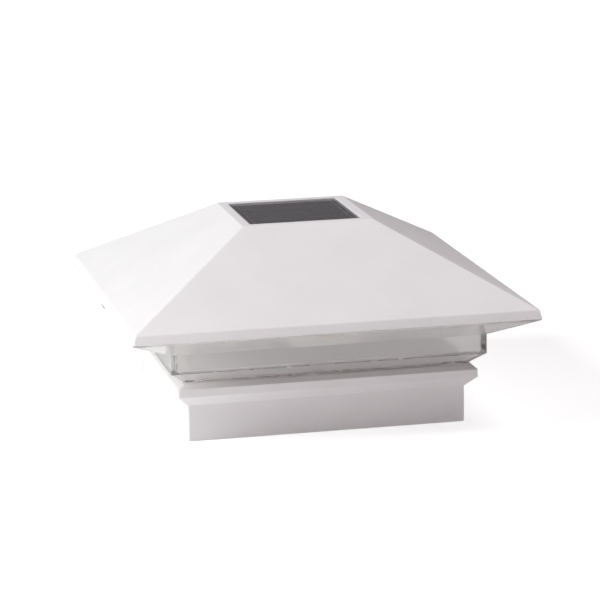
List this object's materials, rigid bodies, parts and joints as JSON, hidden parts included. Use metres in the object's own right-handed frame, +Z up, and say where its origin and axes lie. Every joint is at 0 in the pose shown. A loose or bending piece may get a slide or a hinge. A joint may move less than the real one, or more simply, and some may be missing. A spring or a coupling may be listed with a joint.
{
  "type": "deck post cap light",
  "caption": "Square solar cap light for a hollow deck post: pyramid roof with a small solar panel in its flat top, clear lens ring and skirted base.",
  "frame": {"origin": "centre of the skirt's bottom edge", "axes": "+Z up, away from the post; the front faces -Y; +X to the right seen from the front"},
  "size_m": [0.1964, 0.1964, 0.0952],
  "materials": {
    "white_moulding": "satin white vinyl-like moulding",
    "white_inner": "plain white moulding",
    "clear_moulding": "clear polished plastic",
    "screw_steel": "zinc plated",
    "foam_tape": "soft foam",
    "panel_board": "glass fibre board",
    "solar_cell": "dark cell with fine lines",
    "tinned_metal": "nickel plated",
    "panel_resin": "clear resin",
    "battery_wrap": "shrunk film, bare",
    "seal_rubber": "soft rubber",
    "green_board": "lacquered board",
    "white_board": "white lacquered board",
    "black_plastic": "fine matt",
    "ferrite": "pressed ferrite",
    "capacitor_can": "sleeved can",
    "red_wire": "soft insulation",
    "black_wire": "soft insulation",
    "led_housing": "white housing",
    "led_resin": "yellow tinted resin"
  },
  "bodies": {
    "base": {"base_collar": "white_moulding", "lens_ring": "clear_moulding", "lens_screws": "screw_steel"},
    "head": {"roof_shell": "white_moulding", "ceiling_plate": "white_inner", "plate_screws": "screw_steel", "board_screws": "screw_steel", "panel_tape": "foam_tape", "panel_backplate": "panel_board", "solar_cells": "solar_cell", "cell_ribbons": "tinned_metal", "panel_cover": "panel_resin", "battery_cell": "tinned_metal", "battery_sleeve": "battery_wrap", "contact_plate": "tinned_metal", "spring_plate": "tinned_metal", "battery_spring": "tinned_metal", "bay_seal": "seal_rubber", "main_board": "green_board", "driver_chip": "black_plastic", "storage_coil": "ferrite", "board_capacitor": "capacitor_can", "board_resistors": "black_plastic", "switch_can": "tinned_metal", "switch_pins": "tinned_metal", "panel_wire_red": "red_wire", "panel_wire_black": "black_wire", "battery_wire_red": "red_wire", "battery_wire_black": "black_wire", "led_wires_red": "red_wire", "led_wires_black": "black_wire", "led_board_front": "white_board", "led_chip_front": "led_housing", "led_dome_front": "led_resin", "led_board_right": "white_board", "led_chip_right": "led_housing", "led_dome_right": "led_resin", "led_board_back": "white_board", "led_chip_back": "led_housing", "led_dome_back": "led_resin", "led_board_left": "white_board", "led_chip_left": "led_housing", "led_dome_left": "led_resin"},
    "battery_door": {"battery_door": "white_inner"},
    "switch": {"switch_knob": "black_plastic"}
  },
  "joints": [
    {"name": "head_lift", "type": "slide", "parent": "base", "child": "head", "axis": [0, 0, 1], "range_m": [0, 0.06]},
    {"name": "battery_door_slide", "type": "slide", "parent": "head", "child": "battery_door", "axis": [1, 0, 0], "range_m": [0, 0.05]},
    {"name": "switch_slide", "type": "slide", "parent": "head", "child": "switch", "axis": [1, 0, 0], "range_m": [0, 0.0025]}
  ]
}
